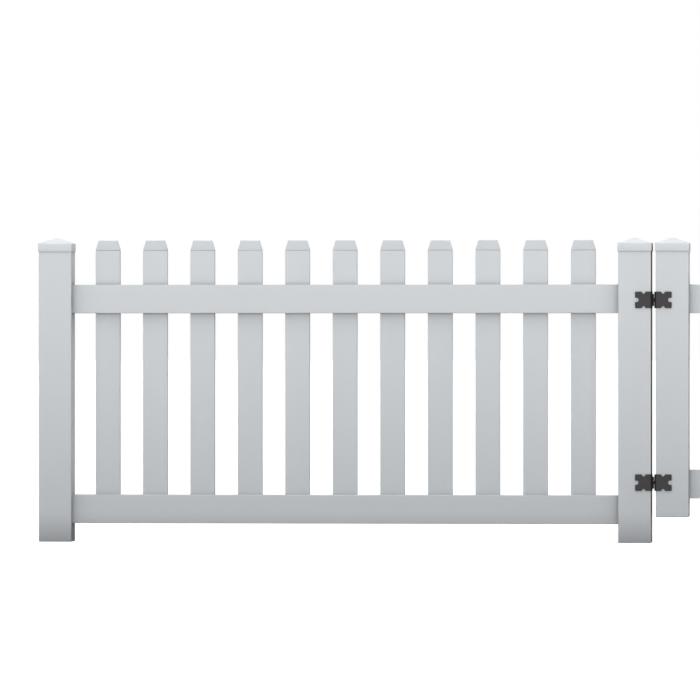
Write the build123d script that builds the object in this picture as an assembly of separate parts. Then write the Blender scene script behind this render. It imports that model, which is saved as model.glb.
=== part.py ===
from build123d import *

import os

# A bay of white vinyl picket fence with a matching picket gate, from ground level up.
# Frame: +X along the fence from the left post to the gate, +Y away from the viewer, +Z up.
# The origin is the centre of the left post's base, at ground level. Lengths are millimetres.

INCH = 25.4

# Posts and gate stiles: one square extrusion, with the foot's edge bevelled
POST = 4 * INCH
POST_WALL = 3.8
POST_RADIUS = 2.5
FOOT_BEVEL = 1.5
POST_SPACING = 71 * INCH
STILE_FOOT_Z = 79.9

# Foot plugs: a moulded tray pressed up into each gate stile, flush with its end
FOOT_PLUG_SLIP = 0.15
FOOT_PLUG_WALL = 2.5
FOOT_PLUG_RISE = 18.0

# Post caps: a moulded pyramid shell whose skirt slips over the post
CAP_SKIRT_Z = 902.0
CAP_EAVES_Z = 928.1
CAP_APEX_Z = 945.2
CAP_WALL = 2.0
CAP_SLIP = 0.1
CAP_LEDGE = 5.0
CAP_ROOF = 2.2
CAP_EDGE_BEVEL = 0.8
CAP_APEX_BLUNT = 1.0

# Rails: a deep hollow extrusion, let into routed holes in the posts
RAIL_DEPTH = 2 * INCH
RAIL_HEIGHT = 3.5 * INCH
RAIL_WALL = 2.3
RAIL_RADIUS = 1.8
RAIL_INTO_POST = 24.0
TOP_RAIL_Z = 710.5
PANEL_BOTTOM_RAIL_Z = 57.2
GATE_BOTTOM_RAIL_Z = 137.3

# Pickets: a flat hollow extrusion, through the top rail and into the bottom rail
PICKET_WIDTH = 3 * INCH
PICKET_DEPTH = 0.875 * INCH
PICKET_WALL = 1.9
PICKET_RADIUS = 1.5
PICKET_TOP_Z = 905.8
PANEL_PICKETS = 11
GATE_PICKETS = 6

# Picket caps: a moulded flat-topped wedge with a plug that goes down into the picket
PICKET_CAP_TOP_Z = 936.7
PICKET_CAP_SLOPE_IN = 9.2
PICKET_CAP_WALL = 2.0
PICKET_CAP_GROOVE = 1.2
PICKET_CAP_EDGE_BEVEL = 0.6
PLUG_LENGTH = 14.0
PLUG_SLIP = 0.15

# Clearance all round a rail in a post, and round a picket in a rail
ROUTED_CLEARANCE = 0.4

# Gate hinges: two leaves that wrap the corners of post and stile, on a slim pin
GATE_GAP = 14.7
UPPER_HINGE_Z = 751.2
LOWER_HINGE_Z = 186.5
LEAF_HEIGHT = 2 * INCH
LEAF_REACH = 56.5
LEAF_THICKNESS = 3.0
LEAF_CORNER = 2.8
LEAF_EDGE_BEVEL = 0.7
LEAF_FROM_PIN = 2.6
LEAF_SHOULDER = 6.8
LEAF_RETURN = 12.0
SIDE_NOTCH_FROM_PIN = 30.0
SIDE_NOTCH_RADIUS = 5.2
SIDE_NOTCH_DEPTH = 6.2
END_NOTCH_RADIUS = 6.8
END_NOTCH_DEPTH = 11.2
NOTCH_LIP = 2.2
KNUCKLE_RADIUS = 2.4
KNUCKLE_STACK = 38.0
KNUCKLE_GAP = 0.3
KNUCKLE_WEB = 2.4
PIN_RADIUS = 1.3
PIN_CLEARANCE = 0.05
PIN_HEAD_RADIUS = 2.2
PIN_HEAD_HEIGHT = 1.4
PIN_HEAD_BEVEL = 0.6

# How far a cut runs past the face that it opens, and how near counts as being on a face
CUT_MARGIN = 1.0
ON_FACE = 0.01

CLEAR_BAY = POST_SPACING - POST
PICKET_GAP = (CLEAR_BAY - PANEL_PICKETS * PICKET_WIDTH) / (PANEL_PICKETS + 1)
PICKET_PITCH = PICKET_WIDTH + PICKET_GAP
CLEAR_GATE = GATE_PICKETS * PICKET_PITCH + PICKET_GAP
HINGE_POST_X = POST_SPACING
HINGE_STILE_X = HINGE_POST_X + POST + GATE_GAP
LATCH_STILE_X = HINGE_STILE_X + POST + CLEAR_GATE
LATCH_POST_X = LATCH_STILE_X + POST + GATE_GAP
POST_FRONT_Y = -POST / 2
PIN_X = HINGE_POST_X + POST / 2 + GATE_GAP / 2
PIN_Y = POST_FRONT_Y - LEAF_THICKNESS


def hollow_section(width, depth, wall, radius):
    """The cross-section of a rectangular extrusion with rounded outer corners."""
    return RectangleRounded(width, depth, radius) - Rectangle(width - 2 * wall, depth - 2 * wall)


def block(x_low, x_high, y_low, y_high, z_low, z_high):
    """A plain block between two corners, used to cut."""
    size = (x_high - x_low, y_high - y_low, z_high - z_low)
    middle = Pos((x_low + x_high) / 2, (y_low + y_high) / 2, (z_low + z_high) / 2)
    return middle * Box(*size)


def upright(x, foot_z, rail_levels, routed_sides):
    """A post or gate stile: a square tube, routed for the rail ends on the sides given."""
    top_z = CAP_EAVES_Z - CAP_ROOF
    section = hollow_section(POST, POST, POST_WALL, POST_RADIUS)
    tube = Pos(0, 0, foot_z) * extrude(section, top_z - foot_z)
    foot = tube.edges().group_by(Axis.Z)[0]
    rim = [edge for edge in foot if on_outline(edge, POST, POST, POST_RADIUS)]
    tube = chamfer(rim, FOOT_BEVEL)
    half_hole = RAIL_DEPTH / 2 + ROUTED_CLEARANCE
    inside_wall = POST / 2 - POST_WALL - CUT_MARGIN
    outside_wall = POST / 2 + CUT_MARGIN
    for side in routed_sides:
        wall_from, wall_to = sorted((side * inside_wall, side * outside_wall))
        for rail_z in rail_levels:
            hole_low = rail_z - ROUTED_CLEARANCE
            hole_high = rail_z + RAIL_HEIGHT + ROUTED_CLEARANCE
            tube -= block(wall_from, wall_to, -half_hole, half_hole, hole_low, hole_high)
    return Pos(x, 0, 0) * tube


def on_outline(edge, width, depth, radius):
    """Whether an edge lies on the outer outline of a section, and not on its inner one."""
    middle = edge.center()
    return abs(middle.X) > width / 2 - radius or abs(middle.Y) > depth / 2 - radius


def foot_plug(x):
    """A tray that closes the foot of a gate stile: a flat floor with walls that grip inside."""
    outside = POST - 2 * (POST_WALL + FOOT_PLUG_SLIP)
    inside = outside - 2 * FOOT_PLUG_WALL
    tray = extrude(Rectangle(outside, outside), FOOT_PLUG_RISE)
    tray -= Pos(0, 0, FOOT_PLUG_WALL) * extrude(Rectangle(inside, inside), FOOT_PLUG_RISE)
    return Pos(x, 0, STILE_FOOT_Z) * tray


def post_cap(x):
    """A pyramid cap: skirt, sloping roof, and an inner ledge that sits on the post's end."""
    outside = POST + 2 * (CAP_SLIP + CAP_WALL)
    skirt = extrude(Rectangle(outside, outside), CAP_EAVES_Z - CAP_SKIRT_Z)
    skirt = chamfer(skirt.edges().filter_by(Axis.Z), CAP_EDGE_BEVEL)
    roof_rise = CAP_APEX_Z - CAP_EAVES_Z
    roof = pyramid(outside, roof_rise)
    cap = Pos(0, 0, CAP_SKIRT_Z) * skirt + Pos(0, 0, CAP_EAVES_Z) * roof
    inside = POST + 2 * CAP_SLIP
    ledge_z = CAP_EAVES_Z - CAP_ROOF
    half = inside / 2
    cap -= block(-half, half, -half, half, CAP_SKIRT_Z - CUT_MARGIN, ledge_z)
    hollow = POST - 2 * POST_WALL - 2 * CAP_LEDGE
    hollow_rise = roof_rise * hollow / outside
    cap -= Pos(0, 0, ledge_z) * pyramid(hollow, hollow_rise)
    return Pos(x, 0, 0) * cap


def pyramid(base, rise):
    """A four-sided pyramid on a square base, its apex left a hair blunt as moulded."""
    return hipped(base, base, rise, (base - CAP_APEX_BLUNT) / 2, (base - CAP_APEX_BLUNT) / 2)


def hipped(width, depth, rise, in_x, in_y):
    """A block on a rectangle whose four sides slope in by the given amounts to a flat top."""
    slab = Wedge(width, rise, depth, in_x, in_y, width - in_x, depth - in_y)
    return Pos(0, 0, rise / 2) * Rot(90, 0, 0) * slab


def rail(x_low, x_high, bottom_z, picket_places, goes_through):
    """A rail along X, routed above for the pickets, and below too where they pass through."""
    section = hollow_section(RAIL_DEPTH, RAIL_HEIGHT, RAIL_WALL, RAIL_RADIUS)
    middle_z = bottom_z + RAIL_HEIGHT / 2
    start = Plane(origin=(x_low, 0, middle_z), x_dir=(0, 1, 0), z_dir=(1, 0, 0))
    tube = extrude(start * section, x_high - x_low)
    half_width = PICKET_WIDTH / 2 + ROUTED_CLEARANCE
    half_depth = PICKET_DEPTH / 2 + ROUTED_CLEARANCE
    cut_low = bottom_z - CUT_MARGIN if goes_through else middle_z
    cut_high = bottom_z + RAIL_HEIGHT + CUT_MARGIN
    slots = [
        block(x - half_width, x + half_width, -half_depth, half_depth, cut_low, cut_high)
        for x in picket_places
    ]
    return tube - slots


def picket(x, foot_z):
    """A picket: a flat hollow extrusion, its upper end bevelled where the cap meets it."""
    section = hollow_section(PICKET_WIDTH, PICKET_DEPTH, PICKET_WALL, PICKET_RADIUS)
    tube = extrude(section, PICKET_TOP_Z - foot_z)
    rim = tube.edges().group_by(Axis.Z)[-1]
    flat_rim = [edge for edge in rim if on_outline(edge, PICKET_WIDTH, PICKET_DEPTH, PICKET_RADIUS)]
    return Pos(x, 0, foot_z) * chamfer(flat_rim, PICKET_CAP_GROOVE)


def picket_cap(x):
    """A picket cap: bevelled rim, ends that slope in to a flat top, and a plug below."""
    half = PICKET_WIDTH / 2
    height = PICKET_CAP_TOP_Z - PICKET_TOP_Z
    front = Polyline(
        (-half, PICKET_CAP_GROOVE),
        (half, PICKET_CAP_GROOVE),
        (half - PICKET_CAP_SLOPE_IN, height),
        (PICKET_CAP_SLOPE_IN - half, height),
        close=True,
    )
    across = Plane(origin=(0, PICKET_DEPTH / 2, 0), x_dir=(1, 0, 0), z_dir=(0, -1, 0))
    wedge = extrude(across * make_face(front), PICKET_DEPTH)
    upper = [edge for edge in wedge.edges() if edge.center().Z > PICKET_CAP_GROOVE + ON_FACE]
    wedge = chamfer(upper, PICKET_CAP_EDGE_BEVEL)
    rim = hipped(PICKET_WIDTH, PICKET_DEPTH, PICKET_CAP_GROOVE, PICKET_CAP_GROOVE, PICKET_CAP_GROOVE)
    plug_width = PICKET_WIDTH - 2 * (PICKET_WALL + PLUG_SLIP)
    plug_depth = PICKET_DEPTH - 2 * (PICKET_WALL + PLUG_SLIP)
    plug = extrude(Rectangle(plug_width, plug_depth), -PLUG_LENGTH)
    cap = wedge + Pos(0, 0, PICKET_CAP_GROOVE) * Rot(180, 0, 0) * rim + plug
    bore_width = plug_width - 2 * PICKET_CAP_WALL
    bore_depth = plug_depth - 2 * PICKET_CAP_WALL
    bore = extrude(Rectangle(bore_width, bore_depth), PLUG_LENGTH + PICKET_CAP_GROOVE)
    roof_rise = height - PICKET_CAP_WALL - PICKET_CAP_GROOVE
    under_roof = hipped(bore_width, bore_depth, roof_rise, PICKET_CAP_SLOPE_IN, 0)
    cap -= Pos(0, 0, -PLUG_LENGTH) * bore
    cap -= Pos(0, 0, PICKET_CAP_GROOVE) * under_roof
    return Pos(x, 0, PICKET_TOP_Z) * cap


def leaf_outline():
    """A leaf seen from the front, right of the pin: a plate notched above, below and at its end."""
    plate = Pos(LEAF_REACH / 2, 0) * Rectangle(LEAF_REACH, LEAF_HEIGHT)
    side_centre = LEAF_HEIGHT / 2 - SIDE_NOTCH_DEPTH + SIDE_NOTCH_RADIUS
    end_centre = LEAF_REACH - END_NOTCH_DEPTH + END_NOTCH_RADIUS
    for side in (-1, 1):
        plate -= Pos(SIDE_NOTCH_FROM_PIN, side * side_centre) * Circle(SIDE_NOTCH_RADIUS)
    plate -= Pos(end_centre, 0) * Circle(END_NOTCH_RADIUS)
    corners = [v for v in plate.vertices() if at_outer_end(v) and at_long_side(v)]
    plate = fillet(corners, LEAF_CORNER)
    lips = [v for v in plate.vertices() if is_notch_lip(v)]
    return fillet(lips, NOTCH_LIP)


def at_outer_end(vertex):
    return vertex.X > LEAF_REACH - ON_FACE


def at_long_side(vertex):
    return abs(vertex.Y) > LEAF_HEIGHT / 2 - ON_FACE


def is_notch_lip(vertex):
    """Whether a corner of the leaf's outline is the lip of a notch."""
    by_side_notch = abs(vertex.X - SIDE_NOTCH_FROM_PIN) < SIDE_NOTCH_RADIUS + ON_FACE
    by_end_notch = abs(vertex.Y) < END_NOTCH_RADIUS + ON_FACE
    return (at_long_side(vertex) and by_side_notch) or (at_outer_end(vertex) and by_end_notch)


def knuckle_spans(owner):
    """Low and high ends of the knuckles, from the hinge's middle: post outside, gate between."""
    third = KNUCKLE_STACK / 3
    if owner == "gate":
        return [(-third / 2 + KNUCKLE_GAP / 2, third / 2 - KNUCKLE_GAP / 2)]
    low = PIN_HEAD_HEIGHT - KNUCKLE_STACK / 2
    return [(low, -third / 2 - KNUCKLE_GAP / 2), (third / 2 + KNUCKLE_GAP / 2, -low)]


def hinge_leaf(owner):
    """One leaf about the pin's axis: plate, shoulder rolled back into the gap, webbed knuckles."""
    facing = Plane(origin=(0, 0, 0), x_dir=(1, 0, 0), z_dir=(0, -1, 0))
    inner_x = GATE_GAP / 2
    flat_x = inner_x + LEAF_THICKNESS
    plate = extrude(facing * leaf_outline(), -LEAF_THICKNESS)
    past_front = -CUT_MARGIN
    past_back = LEAF_THICKNESS + CUT_MARGIN
    plate -= block(-CUT_MARGIN, flat_x, past_front, past_back, -LEAF_HEIGHT, LEAF_HEIGHT)
    front = [edge for edge in plate.edges() if abs(edge.center().Y) < ON_FACE]
    rim = [edge for edge in front if edge.center().X > flat_x + ON_FACE]
    plate = chamfer(rim, LEAF_EDGE_BEVEL)
    curve_x = LEAF_FROM_PIN + LEAF_SHOULDER
    with BuildSketch() as plan:
        with BuildLine():
            Line((flat_x, 0), (curve_x, 0))
            RadiusArc((curve_x, 0), (LEAF_FROM_PIN, LEAF_SHOULDER), LEAF_SHOULDER)
            Line((LEAF_FROM_PIN, LEAF_SHOULDER), (LEAF_FROM_PIN, LEAF_RETURN))
            Line((LEAF_FROM_PIN, LEAF_RETURN), (inner_x, LEAF_RETURN))
            Line((inner_x, LEAF_RETURN), (inner_x, LEAF_THICKNESS))
            Line((inner_x, LEAF_THICKNESS), (flat_x, LEAF_THICKNESS))
            Line((flat_x, LEAF_THICKNESS), (flat_x, 0))
        make_face()
    leaf = plate + Pos(0, 0, -LEAF_HEIGHT / 2) * extrude(plan.sketch, LEAF_HEIGHT)
    for low, high in knuckle_spans(owner):
        barrel = Pos(0, 0, (low + high) / 2) * Cylinder(KNUCKLE_RADIUS, high - low)
        web = block(-KNUCKLE_WEB / 2, LEAF_FROM_PIN + CUT_MARGIN, 0, LEAF_RETURN, low, high)
        leaf += barrel + web
    leaf -= Cylinder(PIN_RADIUS + PIN_CLEARANCE, LEAF_HEIGHT)
    return leaf if owner == "gate" else mirror(leaf, Plane.YZ)


def hinge_pin():
    """The pin, its two heads formed over the outer knuckles."""
    head = Cylinder(PIN_HEAD_RADIUS, PIN_HEAD_HEIGHT)
    head = chamfer(head.edges().sort_by(Axis.Z)[-1], PIN_HEAD_BEVEL)
    head = Pos(0, 0, (KNUCKLE_STACK - PIN_HEAD_HEIGHT) / 2) * head
    shank = Cylinder(PIN_RADIUS, KNUCKLE_STACK - PIN_HEAD_HEIGHT)
    return shank + head + mirror(head, Plane.XY)


def picket_row(start_x, count):
    """The middle of each picket between two uprights, given the first upright's inner face."""
    first = start_x + PICKET_GAP + PICKET_WIDTH / 2
    return [first + i * PICKET_PITCH for i in range(count)]


def write(name, solids):
    """One piece, or like pieces that share a name, as one file."""
    shape = solids[0] if len(solids) == 1 else Compound(children=solids)
    export_step(shape, f"parts/{name}.step")


def main():
    os.makedirs("parts", exist_ok=True)
    panel_row = picket_row(POST / 2, PANEL_PICKETS)
    gate_row = picket_row(HINGE_STILE_X + POST / 2, GATE_PICKETS)
    panel_levels = (TOP_RAIL_Z, PANEL_BOTTOM_RAIL_Z)
    gate_levels = (TOP_RAIL_Z, GATE_BOTTOM_RAIL_Z)

    write("left_post", [upright(0, 0, panel_levels, (1,))])
    write("hinge_post", [upright(HINGE_POST_X, 0, panel_levels, (-1,))])
    write("latch_post", [upright(LATCH_POST_X, 0, (), ())])
    write("gate_hinge_stile", [upright(HINGE_STILE_X, STILE_FOOT_Z, gate_levels, (1,))])
    write("gate_latch_stile", [upright(LATCH_STILE_X, STILE_FOOT_Z, gate_levels, (-1,))])

    write("gate_hinge_stile_plug", [foot_plug(HINGE_STILE_X)])
    write("gate_latch_stile_plug", [foot_plug(LATCH_STILE_X)])

    write("left_post_cap", [post_cap(0)])
    write("hinge_post_cap", [post_cap(HINGE_POST_X)])
    write("latch_post_cap", [post_cap(LATCH_POST_X)])
    write("gate_hinge_stile_cap", [post_cap(HINGE_STILE_X)])
    write("gate_latch_stile_cap", [post_cap(LATCH_STILE_X)])

    panel_low = POST / 2 - RAIL_INTO_POST
    panel_high = HINGE_POST_X - POST / 2 + RAIL_INTO_POST
    write("top_rail", [rail(panel_low, panel_high, TOP_RAIL_Z, panel_row, True)])
    write("bottom_rail", [rail(panel_low, panel_high, PANEL_BOTTOM_RAIL_Z, panel_row, False)])
    gate_low = HINGE_STILE_X + POST / 2 - RAIL_INTO_POST
    gate_high = LATCH_STILE_X - POST / 2 + RAIL_INTO_POST
    write("gate_top_rail", [rail(gate_low, gate_high, TOP_RAIL_Z, gate_row, True)])
    write("gate_bottom_rail", [rail(gate_low, gate_high, GATE_BOTTOM_RAIL_Z, gate_row, False)])

    for number, x in enumerate(panel_row, 1):
        write(f"picket_{number:02d}", [picket(x, PANEL_BOTTOM_RAIL_Z + RAIL_WALL)])
    for number, x in enumerate(gate_row, 1):
        write(f"gate_picket_{number}", [picket(x, GATE_BOTTOM_RAIL_Z + RAIL_WALL)])
    write("picket_caps", [picket_cap(x) for x in panel_row])
    write("gate_picket_caps", [picket_cap(x) for x in gate_row])

    for level, z in (("upper", UPPER_HINGE_Z), ("lower", LOWER_HINGE_Z)):
        place = Pos(PIN_X, PIN_Y, z)
        write(f"{level}_hinge_post_leaf", [place * hinge_leaf("post")])
        write(f"{level}_hinge_gate_leaf", [place * hinge_leaf("gate")])
        write(f"{level}_hinge_pin", [place * hinge_pin()])


main()
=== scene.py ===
import math

import bpy
from mathutils import Euler, Matrix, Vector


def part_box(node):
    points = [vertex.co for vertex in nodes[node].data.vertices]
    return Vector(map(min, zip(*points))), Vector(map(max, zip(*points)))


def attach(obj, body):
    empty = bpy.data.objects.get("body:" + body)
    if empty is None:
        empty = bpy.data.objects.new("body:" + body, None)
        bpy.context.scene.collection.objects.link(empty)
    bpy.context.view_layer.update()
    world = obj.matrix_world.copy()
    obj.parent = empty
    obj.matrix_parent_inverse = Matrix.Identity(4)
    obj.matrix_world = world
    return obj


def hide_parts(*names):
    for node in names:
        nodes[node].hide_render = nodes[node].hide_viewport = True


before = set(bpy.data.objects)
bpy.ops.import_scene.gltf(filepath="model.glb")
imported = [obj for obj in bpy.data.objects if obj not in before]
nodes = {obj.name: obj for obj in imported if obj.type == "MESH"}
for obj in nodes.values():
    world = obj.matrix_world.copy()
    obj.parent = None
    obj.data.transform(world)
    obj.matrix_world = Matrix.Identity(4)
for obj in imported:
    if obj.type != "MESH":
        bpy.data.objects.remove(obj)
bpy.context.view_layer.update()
scene = bpy.context.scene

# Posts and gate stiles. The real ones are four-inch square tubes of rigid white vinyl, drawn
# through a die, cut to length and routed for the rails. They are satin, with faint lines along
# the draw and a slow waviness in the flats. In the joints they are duller, and painted shade
# darkens them.

UPRIGHTS = ["left_post", "hinge_post", "latch_post", "gate_hinge_stile", "gate_latch_stile"]
VINYL_WHITE = (0.79, 0.82, 0.845, 1.0)
VINYL_SHADE = (0.765, 0.8, 0.83, 1.0)
VINYL_SATIN_LOW = 0.42
VINYL_SATIN_HIGH = 0.54
VINYL_IOR = 1.53
VINYL_SPECULAR = 0.15
# Painted shade in the joints: colour darkened by how closely other surfaces stand within this
# reach, and roughness dulled there too.
JOINT_SHADE_REACH = 0.1
JOINT_SHADE_STRENGTH = 0.7
JOINT_DULL_ROUGHNESS = 0.95
CORNER_EASE = 0.0022
DRAW_STRETCH = 0.02
UPRIGHT_DRAW = (1.0, 1.0, DRAW_STRETCH)
DIE_LINE_SCALE = 160.0
DIE_LINE_DETAIL = 3.0
DIE_LINE_RELIEF = 0.00006
SWAY_SCALE = 7.0
SWAY_DETAIL = 1.0
SWAY_RELIEF = 0.0006
HAZE_NONE_AT = 0.3
HAZE_FULL_AT = 0.7


def add_socket(group, name, in_out, kind, value=None):
    """One named socket of a node group, with its default value."""
    socket = group.interface.new_socket(name=name, in_out=in_out, socket_type=kind)
    if value is not None:
        socket.default_value = value
    return socket


def drawn_surface_group():
    """Lines left by the die and the slow sway of the flats, as heights and a soft mask."""
    group = bpy.data.node_groups.new("drawn_surface", "ShaderNodeTree")
    add_socket(group, "Vector", "INPUT", "NodeSocketVector")
    add_socket(group, "Line Scale", "INPUT", "NodeSocketFloat", DIE_LINE_SCALE)
    add_socket(group, "Sway Scale", "INPUT", "NodeSocketFloat", SWAY_SCALE)
    add_socket(group, "Lines", "OUTPUT", "NodeSocketFloat")
    add_socket(group, "Sway", "OUTPUT", "NodeSocketFloat")
    add_socket(group, "Haze", "OUTPUT", "NodeSocketFloat")
    tree = group.nodes
    link = group.links.new
    given = tree.new("NodeGroupInput")
    given_out = tree.new("NodeGroupOutput")
    lines = tree.new("ShaderNodeTexNoise")
    lines.inputs["Detail"].default_value = DIE_LINE_DETAIL
    sway = tree.new("ShaderNodeTexNoise")
    sway.inputs["Detail"].default_value = SWAY_DETAIL
    haze = tree.new("ShaderNodeMapRange")
    haze.inputs["From Min"].default_value = HAZE_NONE_AT
    haze.inputs["From Max"].default_value = HAZE_FULL_AT
    link(given.outputs["Vector"], lines.inputs["Vector"])
    link(given.outputs["Vector"], sway.inputs["Vector"])
    link(given.outputs["Line Scale"], lines.inputs["Scale"])
    link(given.outputs["Sway Scale"], sway.inputs["Scale"])
    link(sway.outputs["Fac"], haze.inputs["Value"])
    link(lines.outputs["Fac"], given_out.inputs["Lines"])
    link(sway.outputs["Fac"], given_out.inputs["Sway"])
    link(haze.outputs["Result"], given_out.inputs["Haze"])
    return group


def painted_joint_shade_group():
    """Colour and roughness, dulled, and darkened by painted shade, where a surface lies close to
    others.
    """
    group = bpy.data.node_groups.new("painted_joint_shade", "ShaderNodeTree")
    add_socket(group, "Color", "INPUT", "NodeSocketColor", VINYL_WHITE)
    add_socket(group, "Roughness", "INPUT", "NodeSocketFloat", VINYL_SATIN_LOW)
    add_socket(group, "Openness", "INPUT", "NodeSocketFloat", 1.0)
    add_socket(group, "Strength", "INPUT", "NodeSocketFloat", JOINT_SHADE_STRENGTH)
    add_socket(group, "Color", "OUTPUT", "NodeSocketColor")
    add_socket(group, "Roughness", "OUTPUT", "NodeSocketFloat")
    tree = group.nodes
    link = group.links.new
    given = tree.new("NodeGroupInput")
    given_out = tree.new("NodeGroupOutput")
    darker = tree.new("ShaderNodeMix")
    darker.data_type = "RGBA"
    darker.blend_type = "MULTIPLY"
    duller = tree.new("ShaderNodeMix")
    duller.inputs["A"].default_value = JOINT_DULL_ROUGHNESS
    link(given.outputs["Strength"], darker.inputs["Factor"])
    link(given.outputs["Color"], darker.inputs["A"])
    link(given.outputs["Openness"], darker.inputs["B"])
    link(given.outputs["Openness"], duller.inputs["Factor"])
    link(given.outputs["Roughness"], duller.inputs["B"])
    link(darker.outputs["Result"], given_out.inputs["Color"])
    link(duller.outputs["Result"], given_out.inputs["Roughness"])
    return group


drawn_surface = drawn_surface_group()
painted_joint_shade = painted_joint_shade_group()


def add_painted_joint_shade(tree, link, shader, colour, roughness):
    """Feeds a colour and a roughness to the shader, through the painted shade and dulling of the
    joints.
    """
    closeness = tree.new("ShaderNodeAmbientOcclusion")
    closeness.inputs["Distance"].default_value = JOINT_SHADE_REACH
    painted_shade_node = tree.new("ShaderNodeGroup")
    painted_shade_node.node_tree = painted_joint_shade
    painted_shade_node.inputs["Strength"].default_value = JOINT_SHADE_STRENGTH
    link(closeness.outputs["AO"], painted_shade_node.inputs["Openness"])
    link(colour, painted_shade_node.inputs["Color"])
    link(roughness, painted_shade_node.inputs["Roughness"])
    link(painted_shade_node.outputs["Color"], shader.inputs["Base Color"])
    link(painted_shade_node.outputs["Roughness"], shader.inputs["Roughness"])


def vinyl(name, draw, line_relief, line_scale):
    """White vinyl with its draw along an axis, or with none where it was moulded."""
    material = bpy.data.materials.new(name)
    material.use_nodes = True
    tree = material.node_tree.nodes
    link = material.node_tree.links.new
    shader = tree["Principled BSDF"]
    shader.inputs["IOR"].default_value = VINYL_IOR
    shader.inputs["Specular IOR Level"].default_value = VINYL_SPECULAR
    place = tree.new("ShaderNodeTexCoord")
    stretch = tree.new("ShaderNodeMapping")
    stretch.inputs["Scale"].default_value = draw
    surface = tree.new("ShaderNodeGroup")
    surface.node_tree = drawn_surface
    surface.inputs["Line Scale"].default_value = line_scale
    surface.inputs["Sway Scale"].default_value = SWAY_SCALE
    tint = tree.new("ShaderNodeMix")
    tint.data_type = "RGBA"
    tint.inputs["A"].default_value = VINYL_WHITE
    tint.inputs["B"].default_value = VINYL_SHADE
    satin = tree.new("ShaderNodeMapRange")
    satin.inputs["To Min"].default_value = VINYL_SATIN_LOW
    satin.inputs["To Max"].default_value = VINYL_SATIN_HIGH
    corner = tree.new("ShaderNodeBevel")
    corner.inputs["Radius"].default_value = CORNER_EASE
    sway = tree.new("ShaderNodeBump")
    sway.inputs["Distance"].default_value = SWAY_RELIEF
    lines = tree.new("ShaderNodeBump")
    lines.inputs["Distance"].default_value = line_relief
    link(place.outputs["Object"], stretch.inputs["Vector"])
    link(stretch.outputs["Vector"], surface.inputs["Vector"])
    link(surface.outputs["Haze"], tint.inputs["Factor"])
    link(surface.outputs["Haze"], satin.inputs["Value"])
    link(corner.outputs["Normal"], sway.inputs["Normal"])
    link(surface.outputs["Sway"], sway.inputs["Height"])
    link(surface.outputs["Lines"], lines.inputs["Height"])
    link(sway.outputs["Normal"], lines.inputs["Normal"])
    link(lines.outputs["Normal"], shader.inputs["Normal"])
    add_painted_joint_shade(tree, link, shader, tint.outputs["Result"], satin.outputs["Result"])
    return material


def dress(names, material):
    """Gives CAD nodes a finish in place of the plain one that they came with."""
    for name in names:
        for held in nodes[name].material_slots:
            held.material = material


upright_vinyl = vinyl("vinyl_drawn_upright", UPRIGHT_DRAW, DIE_LINE_RELIEF, DIE_LINE_SCALE)
dress(UPRIGHTS, upright_vinyl)

# Stile foot plugs. Small moulded trays of the same vinyl, pressed up into the feet of the two
# gate stiles to close the tubes. Moulded vinyl has no draw lines, only a fine even stipple.

STILE_PLUGS = ["gate_hinge_stile_plug", "gate_latch_stile_plug"]
NO_DRAW = (1.0, 1.0, 1.0)
STIPPLE_SCALE = 900.0
STIPPLE_RELIEF = 0.00003

moulded_vinyl = vinyl("vinyl_moulded", NO_DRAW, STIPPLE_RELIEF, STIPPLE_SCALE)
dress(STILE_PLUGS, moulded_vinyl)

# Post caps. The real one is a thin moulded pyramid whose skirt slips over the post's end, with
# softly rounded eaves and hips. Glue holds it, and it stands two millimetres proud all round.

CAP_OUTSIDE = 0.1058
CAP_SKIRT_Z = 0.902
CAP_EAVES_Z = 0.9281
CAP_APEX_Z = 0.9452
CAP_WALL = 0.002
CAP_SHOULDER = 0.0023
CAP_SHOULDER_STEPS = 4
CAP_RIM_ROUNDING = 0.0006
CAP_CREASE = math.radians(30)
ROUNDING_STEPS = 3
FACING = 0.9
WALL_INWARDS = -1.0
POST_CAPS = {
    "left_post_cap": "fence",
    "hinge_post_cap": "fence",
    "latch_post_cap": "fence",
    "gate_hinge_stile_cap": "gate",
    "gate_latch_stile_cap": "gate",
}


def start_block(name, size, middle):
    """A block of the given size about a point, alone selected and open in edit mode."""
    bpy.ops.object.select_all(action="DESELECT")
    bpy.ops.mesh.primitive_cube_add(size=1.0, location=middle)
    block = bpy.context.object
    block.name = name
    block.scale = size
    bpy.ops.object.transform_apply(location=True, rotation=False, scale=True)
    bpy.ops.object.mode_set(mode="EDIT")
    bpy.ops.mesh.select_mode(type="FACE")
    return block


def pick_faces(block, wanted):
    """Selects the faces for which wanted(centre, normal) holds, and no others."""
    bpy.ops.mesh.select_all(action="DESELECT")
    bpy.ops.object.mode_set(mode="OBJECT")
    for face in block.data.polygons:
        face.select = wanted(face.center, face.normal)
    bpy.ops.object.mode_set(mode="EDIT")


def facing_up(centre, normal):
    return normal.z > FACING


def facing_down(centre, normal):
    return normal.z < -FACING


def round_edges(block, width, crease):
    """Leaves edit mode and rounds every edge that is sharper than the crease."""
    bpy.ops.object.mode_set(mode="OBJECT")
    rounding = block.modifiers.new("rounding", "BEVEL")
    rounding.width = width
    rounding.segments = ROUNDING_STEPS
    rounding.limit_method = "ANGLE"
    rounding.angle_limit = crease
    bpy.ops.object.modifier_apply(modifier=rounding.name)
    bpy.ops.object.shade_smooth_by_angle(angle=crease)


def copy_to(pattern, name, x, body, stands_for, material):
    """A copy with its own mesh, moved along the fence, that rides on a body."""
    piece = bpy.data.objects.new(name, pattern.data.copy())
    bpy.context.collection.objects.link(piece)
    piece.data.transform(Matrix.Translation((x, 0.0, 0.0)))
    piece.data.materials.clear()
    piece.data.materials.append(material)
    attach(piece, body)
    if stands_for:
        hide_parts(stands_for)
    return piece


def middle_x(node):
    low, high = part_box(node)
    return (low[0] + high[0]) / 2


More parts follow.
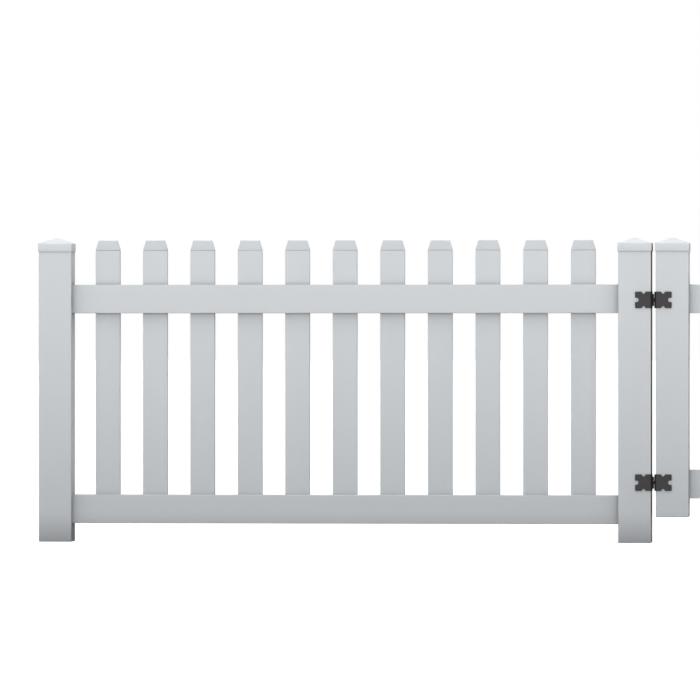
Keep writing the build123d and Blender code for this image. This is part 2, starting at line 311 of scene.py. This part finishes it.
def pick_cap_shoulders(cap):
    """Selects the upright corners, the eaves and the hips, all but the open rim."""
    bpy.ops.mesh.select_mode(type="EDGE")
    bpy.ops.mesh.select_all(action="DESELECT")
    bpy.ops.object.mode_set(mode="OBJECT")
    points = cap.data.vertices
    rim = CAP_SKIRT_Z + CAP_WALL
    for edge in cap.data.edges:
        edge.select = any(points[end].co.z > rim for end in edge.vertices)
    bpy.ops.object.mode_set(mode="EDIT")


def model_post_cap():
    """The cap about the Z axis: a skirt with no floor, drawn to an apex, rounded, then a shell."""
    skirt = CAP_EAVES_Z - CAP_SKIRT_Z
    middle = (0.0, 0.0, (CAP_SKIRT_Z + CAP_EAVES_Z) / 2)
    cap = start_block("post_cap_pattern", (CAP_OUTSIDE, CAP_OUTSIDE, skirt), middle)
    pick_faces(cap, facing_down)
    bpy.ops.mesh.delete(type="FACE")
    pick_faces(cap, facing_up)
    rise = (0.0, 0.0, CAP_APEX_Z - CAP_EAVES_Z)
    bpy.ops.mesh.extrude_region_move(TRANSFORM_OT_translate={"value": rise})
    bpy.ops.mesh.merge(type="CENTER")
    pick_cap_shoulders(cap)
    bpy.ops.mesh.bevel(offset=CAP_SHOULDER, segments=CAP_SHOULDER_STEPS, affect="EDGES")
    bpy.ops.object.mode_set(mode="OBJECT")
    shell = cap.modifiers.new("shell", "SOLIDIFY")
    shell.thickness = CAP_WALL
    shell.offset = WALL_INWARDS
    shell.use_even_offset = True
    bpy.ops.object.modifier_apply(modifier=shell.name)
    round_edges(cap, CAP_RIM_ROUNDING, CAP_CREASE)
    return cap


post_cap_pattern = model_post_cap()
for name, body in POST_CAPS.items():
    x = middle_x(name)
    copy_to(post_cap_pattern, "shown_" + name, x, body, name, moulded_vinyl)
bpy.data.objects.remove(post_cap_pattern)

# Rails. The same vinyl drawn as a two-by-three-and-a-half tube and laid along the fence, its
# ends through routed holes into the posts. The draw lines run with the rail.

RAILS = ["top_rail", "bottom_rail", "gate_top_rail", "gate_bottom_rail"]
RAIL_DRAW = (DRAW_STRETCH, 1.0, 1.0)

rail_vinyl = vinyl("vinyl_drawn_rail", RAIL_DRAW, DIE_LINE_RELIEF, DIE_LINE_SCALE)
dress(RAILS, rail_vinyl)

# Pickets. Three-inch flat tubes of the same vinyl, drawn like the posts. Each is dropped
# through holes in the top rail and stands in a hole in the bottom rail.

PANEL_PICKET_COUNT = 11
GATE_PICKET_COUNT = 6
PANEL_PICKETS = ["picket_%02d" % (number + 1) for number in range(PANEL_PICKET_COUNT)]
GATE_PICKETS = ["gate_picket_%d" % (number + 1) for number in range(GATE_PICKET_COUNT)]

dress(PANEL_PICKETS + GATE_PICKETS, upright_vinyl)

# Picket caps. Moulded wedges with a flat top and sloping ends. A plug below goes into the
# picket, and both rims are eased, so that the joint between them shows as a fine groove.

PICKET_WIDTH = 0.0762
PICKET_DEPTH = 0.022225
PICKET_TOP_Z = 0.9058
PICKET_CAP_TOP_Z = 0.9367
PICKET_CAP_GROOVE = 0.0012
PICKET_CAP_SLOPE_IN = 0.0092
PICKET_CAP_ROUNDING = 0.0007
PICKET_CAP_CREASE = math.radians(12)
PLUG_STEP = 0.00085
PLUG_LENGTH = 0.014


def model_picket_cap():
    """The cap about the Z axis: eased rim, sloping ends, flat top, and the plug under it."""
    size = (PICKET_WIDTH, PICKET_DEPTH, PICKET_CAP_GROOVE)
    middle = (0.0, 0.0, PICKET_TOP_Z + PICKET_CAP_GROOVE / 2)
    cap = start_block("picket_cap_pattern", size, middle)
    pick_faces(cap, facing_up)
    rise = (0.0, 0.0, PICKET_CAP_TOP_Z - PICKET_TOP_Z - PICKET_CAP_GROOVE)
    bpy.ops.mesh.extrude_region_move(TRANSFORM_OT_translate={"value": rise})
    narrow = 1.0 - 2 * PICKET_CAP_SLOPE_IN / PICKET_WIDTH
    top = (0.0, 0.0, PICKET_CAP_TOP_Z)
    bpy.ops.transform.resize(value=(narrow, 1.0, 1.0), center_override=top)
    pick_faces(cap, facing_down)
    across = 1.0 - 2 * PICKET_CAP_GROOVE / PICKET_WIDTH
    through = 1.0 - 2 * PICKET_CAP_GROOVE / PICKET_DEPTH
    foot = (0.0, 0.0, PICKET_TOP_Z)
    bpy.ops.transform.resize(value=(across, through, 1.0), center_override=foot)
    bpy.ops.mesh.inset(thickness=PLUG_STEP)
    drop = (0.0, 0.0, -PLUG_LENGTH)
    bpy.ops.mesh.extrude_region_move(TRANSFORM_OT_translate={"value": drop})
    round_edges(cap, PICKET_CAP_ROUNDING, PICKET_CAP_CREASE)
    return cap


def join_caps(pattern, name, pickets, body, stands_for):
    """A cap on each of a row of pickets, joined to one piece, as the node is."""
    row = []
    for picket in pickets:
        x = middle_x(picket)
        row.append(copy_to(pattern, name, x, body, None, moulded_vinyl))
    bpy.ops.object.select_all(action="DESELECT")
    for cap in row:
        cap.select_set(True)
    bpy.context.view_layer.objects.active = row[0]
    bpy.ops.object.join()
    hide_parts(stands_for)


picket_cap_pattern = model_picket_cap()
join_caps(picket_cap_pattern, "shown_picket_caps", PANEL_PICKETS, "fence", "picket_caps")
join_caps(picket_cap_pattern, "shown_gate_picket_caps", GATE_PICKETS, "gate", "gate_picket_caps")
bpy.data.objects.remove(picket_cap_pattern)

# Gate hinges. Steel leaves with notched edges, powder-coated dark grey, on a blackened pin.
# The coat is satin with a fine peel, and painted near black, a painted shade, where the leaves
# roll round by the pin.

LEAVES = [
    "upper_hinge_post_leaf",
    "lower_hinge_post_leaf",
    "upper_hinge_gate_leaf",
    "lower_hinge_gate_leaf",
]
PINS = ["upper_hinge_pin", "lower_hinge_pin"]
COAT_GREY = (0.061, 0.057, 0.059, 1.0)
COAT_GREY_DEEP = (0.053, 0.05, 0.052, 1.0)
# Painted shade colour for the leaves where they roll round by the pin.
PIN_ROLL_PAINTED_SHADE = (0.006, 0.006, 0.006, 1.0)
COAT_ROUGH_LOW = 0.45
COAT_ROUGH_HIGH = 0.6
COAT_SPECULAR = 0.3
PEEL_SCALE = 700.0
PEEL_DETAIL = 2.0
PEEL_RELIEF = 0.00008
PIN_X = 1.86155
# Painted shade: how far from the pin the roll is painted dark, and how soft its edge is.
PIN_SHADE_REACH = 0.0092
PIN_SHADE_BLEND = 0.001


def powder_coat(name, colour, deep, pin_shade_colour):
    """Baked powder: a satin paint film with a fine even peel, and painted shade in the given
    colour where the leaves roll round by the pin.
    """
    material = bpy.data.materials.new(name)
    material.use_nodes = True
    tree = material.node_tree.nodes
    link = material.node_tree.links.new
    shader = tree["Principled BSDF"]
    shader.inputs["Specular IOR Level"].default_value = COAT_SPECULAR
    place = tree.new("ShaderNodeTexCoord")
    peel = tree.new("ShaderNodeTexNoise")
    peel.inputs["Scale"].default_value = PEEL_SCALE
    peel.inputs["Detail"].default_value = PEEL_DETAIL
    tint = tree.new("ShaderNodeMix")
    tint.data_type = "RGBA"
    tint.inputs["A"].default_value = colour
    tint.inputs["B"].default_value = deep
    split = tree.new("ShaderNodeSeparateXYZ")
    from_pin = tree.new("ShaderNodeMath")
    from_pin.operation = "SUBTRACT"
    from_pin.inputs[1].default_value = PIN_X
    away = tree.new("ShaderNodeMath")
    away.operation = "ABSOLUTE"
    # Painted shade: within this reach of the pin the colour goes to the given painted shade
    # colour.
    clear_of_pin_shade = tree.new("ShaderNodeMapRange")
    clear_of_pin_shade.inputs["From Min"].default_value = PIN_SHADE_REACH - PIN_SHADE_BLEND
    clear_of_pin_shade.inputs["From Max"].default_value = PIN_SHADE_REACH
    pin_shade_mix = tree.new("ShaderNodeMix")
    pin_shade_mix.data_type = "RGBA"
    pin_shade_mix.inputs["A"].default_value = pin_shade_colour
    rough = tree.new("ShaderNodeMapRange")
    rough.inputs["To Min"].default_value = COAT_ROUGH_LOW
    rough.inputs["To Max"].default_value = COAT_ROUGH_HIGH
    bump = tree.new("ShaderNodeBump")
    bump.inputs["Distance"].default_value = PEEL_RELIEF
    link(place.outputs["Object"], peel.inputs["Vector"])
    link(place.outputs["Object"], split.inputs["Vector"])
    link(split.outputs["X"], from_pin.inputs[0])
    link(from_pin.outputs["Value"], away.inputs[0])
    link(away.outputs["Value"], clear_of_pin_shade.inputs["Value"])
    link(peel.outputs["Fac"], tint.inputs["Factor"])
    link(clear_of_pin_shade.outputs["Result"], pin_shade_mix.inputs["Factor"])
    link(tint.outputs["Result"], pin_shade_mix.inputs["B"])
    link(peel.outputs["Fac"], rough.inputs["Value"])
    link(peel.outputs["Fac"], bump.inputs["Height"])
    link(bump.outputs["Normal"], shader.inputs["Normal"])
    add_painted_joint_shade(tree, link, shader, pin_shade_mix.outputs["Result"], rough.outputs["Result"])
    return material


dress(LEAVES, powder_coat("hinge_powder_coat", COAT_GREY, COAT_GREY_DEEP, PIN_ROLL_PAINTED_SHADE))
dress(PINS, powder_coat("pin_blackened", COAT_GREY_DEEP, COAT_GREY_DEEP, COAT_GREY_DEEP))

# Floor. A plain pale studio floor. It shows white and darkens where the fence shades it. Close
# under the fence the light it throws back is painted dark, a painted shade for the fence's own
# shade on it.

FLOOR_SIZE = 400.0
FLOOR_PALE = (0.95, 0.95, 0.95, 1.0)
FLOOR_SHADED = (0.08, 0.08, 0.08, 1.0)
FLOOR_DARK_NEAR = 0.7
FLOOR_PALE_FROM = 1.7
FLOOR_GLOW = 0.82
FLOOR_SEEN = (0.42, 0.42, 0.42, 1.0)


def shown_rays(tree, link):
    """One where a ray comes from the eye, from a mirroring surface or through glass."""
    path = tree.new("ShaderNodeLightPath")
    seen_or_mirrored = tree.new("ShaderNodeMath")
    seen_or_mirrored.operation = "MAXIMUM"
    or_through = tree.new("ShaderNodeMath")
    or_through.operation = "MAXIMUM"
    link(path.outputs["Is Camera Ray"], seen_or_mirrored.inputs[0])
    link(path.outputs["Is Glossy Ray"], seen_or_mirrored.inputs[1])
    link(seen_or_mirrored.outputs["Value"], or_through.inputs[0])
    link(path.outputs["Is Transmission Ray"], or_through.inputs[1])
    return or_through.outputs["Value"]


bpy.ops.object.select_all(action="DESELECT")
bpy.ops.mesh.primitive_plane_add(size=FLOOR_SIZE, location=(0.0, 0.0, 0.0))
floor = bpy.context.object
floor.name = "studio_floor"
floor_paint = bpy.data.materials.new("studio_floor_paint")
floor_paint.use_nodes = True
tree = floor_paint.node_tree.nodes
link = floor_paint.node_tree.links.new
tree.remove(tree["Principled BSDF"])
out = tree["Material Output"]
place = tree.new("ShaderNodeTexCoord")
split = tree.new("ShaderNodeSeparateXYZ")
away = tree.new("ShaderNodeMath")
away.operation = "ABSOLUTE"
near = tree.new("ShaderNodeMapRange")
near.interpolation_type = "SMOOTHSTEP"
near.inputs["From Min"].default_value = FLOOR_DARK_NEAR
near.inputs["From Max"].default_value = FLOOR_PALE_FROM
# Painted shade: the colour of the light the floor throws back, dark near the fence and pale
# beyond.
bounce_colour = tree.new("ShaderNodeMix")
bounce_colour.data_type = "RGBA"
bounce_colour.inputs["A"].default_value = FLOOR_SHADED
bounce_colour.inputs["B"].default_value = FLOOR_PALE
bounce = tree.new("ShaderNodeBsdfDiffuse")
shade = tree.new("ShaderNodeBsdfDiffuse")
shade.inputs["Color"].default_value = FLOOR_SEEN
glow = tree.new("ShaderNodeEmission")
glow.inputs["Strength"].default_value = FLOOR_GLOW
seen = tree.new("ShaderNodeAddShader")
choose = tree.new("ShaderNodeMixShader")
link(place.outputs["Object"], split.inputs["Vector"])
link(split.outputs["Y"], away.inputs[0])
link(away.outputs["Value"], near.inputs["Value"])
link(near.outputs["Result"], bounce_colour.inputs["Factor"])
link(bounce_colour.outputs["Result"], bounce.inputs["Color"])
link(shade.outputs["BSDF"], seen.inputs[0])
link(glow.outputs["Emission"], seen.inputs[1])
link(shown_rays(tree, link), choose.inputs["Fac"])
link(bounce.outputs["BSDF"], choose.inputs[1])
link(seen.outputs["Shader"], choose.inputs[2])
link(choose.outputs["Shader"], out.inputs["Surface"])
floor.data.materials.append(floor_paint)

# Light. A tent of soft light: a broad panel fills the top of the sky, a smaller one stands in
# front of the fence, and the rest glows faintly. The sky itself shows as plain white.

TENT_GLOW = 0.16
TOP_PANEL = 1.9
TOP_PANEL_FROM = 0.72
TOP_PANEL_FULL = 0.82
FRONT_PANEL = 2.7
FRONT_PANEL_FROM = 0.83
FRONT_PANEL_FULL = 0.93
PLAIN_WHITE = (1.0, 1.0, 1.0, 1.0)


def panel(tree, link, towards, start, full, strength):
    """How strongly one panel glows, by how far a direction points towards it."""
    edge = tree.new("ShaderNodeMapRange")
    edge.interpolation_type = "SMOOTHSTEP"
    edge.inputs["From Min"].default_value = start
    edge.inputs["From Max"].default_value = full
    edge.inputs["To Max"].default_value = strength
    link(towards, edge.inputs["Value"])
    return edge.outputs["Result"]


world = bpy.data.worlds.new("studio_sky")
scene.world = world
world.use_nodes = True
tree = world.node_tree.nodes
link = world.node_tree.links.new
place = tree.new("ShaderNodeTexCoord")
split = tree.new("ShaderNodeSeparateXYZ")
towards_front = tree.new("ShaderNodeMath")
towards_front.operation = "MULTIPLY"
towards_front.inputs[1].default_value = -1.0
panels = tree.new("ShaderNodeMath")
panels.operation = "ADD"
level = tree.new("ShaderNodeMath")
level.operation = "ADD"
level.inputs[1].default_value = TENT_GLOW
sky = tree["Background"]
sky.inputs["Color"].default_value = PLAIN_WHITE
white = tree.new("ShaderNodeBackground")
white.inputs["Color"].default_value = PLAIN_WHITE
choose = tree.new("ShaderNodeMixShader")
link(place.outputs["Generated"], split.inputs["Vector"])
link(split.outputs["Y"], towards_front.inputs[0])
up = split.outputs["Z"]
front = towards_front.outputs["Value"]
link(panel(tree, link, up, TOP_PANEL_FROM, TOP_PANEL_FULL, TOP_PANEL), panels.inputs[0])
link(panel(tree, link, front, FRONT_PANEL_FROM, FRONT_PANEL_FULL, FRONT_PANEL), panels.inputs[1])
link(panels.outputs["Value"], level.inputs[0])
link(level.outputs["Value"], sky.inputs["Strength"])
link(shown_rays(tree, link), choose.inputs["Fac"])
link(sky.outputs["Background"], choose.inputs[1])
link(white.outputs["Background"], choose.inputs[2])
link(choose.outputs["Shader"], tree["World Output"].inputs["Surface"])
scene.view_settings.view_transform = "Standard"

# Camera. A very long lens, two thirds of the way up the fence and beyond the bay's right end,
# turned a little left, so that uprights stay upright and the bay keeps almost one scale.

CAMERA_PLACE = (2.844, -23.0, 0.628)
CAMERA_TURN_LEFT = math.radians(4.79)
CAMERA_TIP_DOWN = math.radians(0.079)
FOCAL_PIXELS = 7428.0
FRAME_PIXELS = 700.0
SENSOR_MM = 36.0
SIGHT_ENDS = 500.0

lens = bpy.data.cameras.new("studio_camera")
lens.sensor_width = SENSOR_MM
lens.lens = FOCAL_PIXELS / FRAME_PIXELS * SENSOR_MM
lens.clip_end = SIGHT_ENDS
camera = bpy.data.objects.new("studio_camera", lens)
scene.collection.objects.link(camera)
camera.location = CAMERA_PLACE
camera.rotation_euler = Euler((math.pi / 2 - CAMERA_TIP_DOWN, 0.0, CAMERA_TURN_LEFT))
scene.camera = camera
